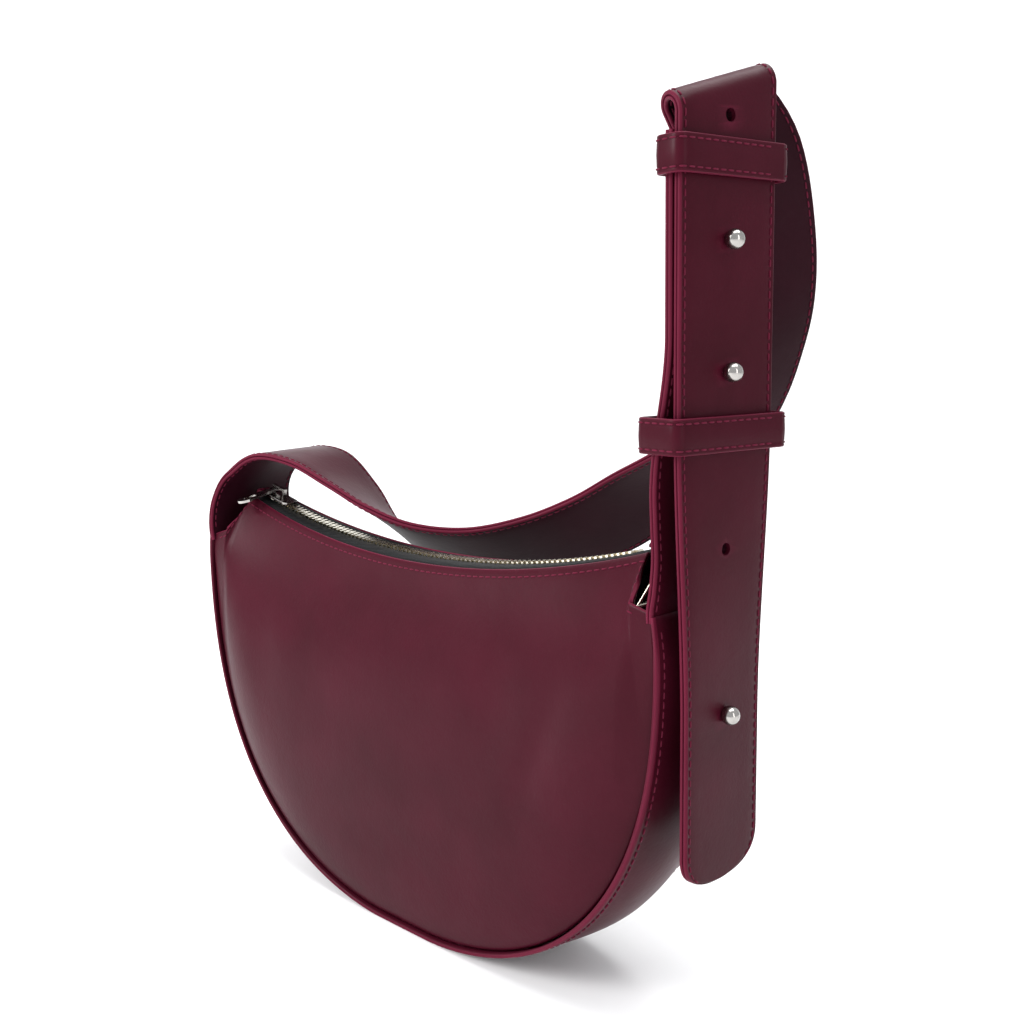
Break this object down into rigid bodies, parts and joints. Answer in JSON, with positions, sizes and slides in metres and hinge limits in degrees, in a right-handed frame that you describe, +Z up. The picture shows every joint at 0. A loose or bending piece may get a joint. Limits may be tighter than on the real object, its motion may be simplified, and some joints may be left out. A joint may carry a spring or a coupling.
{
  "type": "hobo bag",
  "caption": "Half-moon hobo bag in glossy burgundy leather with a zip top and a studded, adjustable shoulder strap.",
  "frame": {"origin": "on the ground, under the middle of the bag body, midway between the two side seams and between the front and back panels", "axes": "+Z up, +X towards the end with the studs, +Y from the front panel to the back panel"},
  "size_m": [0.3098, 0.1146, 0.3556],
  "materials": {
    "leather": "gloss",
    "leather_inner": "satin",
    "nickel": "polished",
    "black_cloth": "matt"
  },
  "bodies": {
    "bag": {"front_panel": "leather", "back_panel": "leather", "gusset": "leather", "lining_front": "black_cloth", "lining_back": "black_cloth", "lining_gusset": "black_cloth", "zip_tape_front": "black_cloth", "zip_tape_back": "black_cloth", "zip_teeth_front": "nickel", "zip_teeth_back": "nickel", "zip_end_left": "leather", "zip_end_right": "leather", "ring_tab_left": "leather", "ring_tab_right": "leather", "billet_strap": "leather", "billet_lining": "leather_inner", "shoulder_strap": "leather", "shoulder_lining": "leather_inner", "stud_gusset": "nickel", "stud_lower": "nickel", "stud_upper": "nickel", "screw_gusset": "nickel", "screw_lower": "nickel", "screw_upper": "nickel"},
    "slider": {"zip_slider": "nickel"},
    "pull": {"zip_pull": "nickel"},
    "ring_l": {"ring_left": "nickel"},
    "ring_r": {"ring_right": "nickel"},
    "loop_low": {"keeper_lower": "leather"},
    "loop_high": {"keeper_upper": "leather"}
  },
  "joints": [
    {"name": "zip_run", "type": "hinge", "parent": "bag", "child": "slider", "pos_m": [0, 0, 0.6175], "axis": [0, -1, 0], "range_deg": [0, 29]},
    {"name": "pull_swing", "type": "hinge", "parent": "slider", "child": "pull", "pos_m": [-0.12072, 0, 0.1882], "axis": [0, 0, 1], "range_deg": [0, 22]},
    {"name": "ring_l_tilt", "type": "hinge", "parent": "bag", "child": "ring_l", "pos_m": [-0.1302, 0, 0.167], "axis": [0, -1, 0], "range_deg": [0, 14]},
    {"name": "ring_r_tilt", "type": "hinge", "parent": "bag", "child": "ring_r", "pos_m": [0.1302, 0, 0.167], "axis": [0, 1, 0], "range_deg": [0, 14]},
    {"name": "loop_low_slide", "type": "slide", "parent": "bag", "child": "loop_low", "axis": [0, 0, 1], "range_m": [-0.02, 0.008]},
    {"name": "loop_high_slide", "type": "slide", "parent": "bag", "child": "loop_high", "axis": [0, 0, 1], "range_m": [-0.015, 0.001]}
  ]
}
